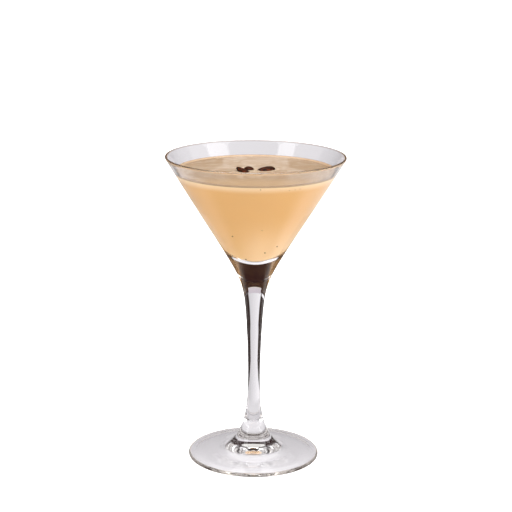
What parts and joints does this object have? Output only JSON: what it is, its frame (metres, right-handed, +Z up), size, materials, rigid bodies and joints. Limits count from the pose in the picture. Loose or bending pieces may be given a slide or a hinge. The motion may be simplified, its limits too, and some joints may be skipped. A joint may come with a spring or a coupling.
{
  "type": "flat white martini",
  "caption": "Creamy coffee cocktail in a cone-shaped stemmed glass, with roasted coffee beans floating on its surface, standing on the glass's round foot.",
  "frame": {"origin": "middle of the glass's foot, on the surface that it stands on", "axes": "+Z up along the axis of the glass, -Y towards the viewer, +X to the viewer's right"},
  "size_m": [0.104, 0.104, 0.1812],
  "materials": {
    "clear_glass": "clear and polished",
    "creamy_coffee": "opaque creamy liquid with a wet surface",
    "roasted_bean": "satin, slightly oily"
  },
  "bodies": {
    "root": {"glass": "clear_glass", "drink": "creamy_coffee", "bean_front": "roasted_bean", "bean_back": "roasted_bean", "bean_right": "roasted_bean"}
  },
  "joints": []
}
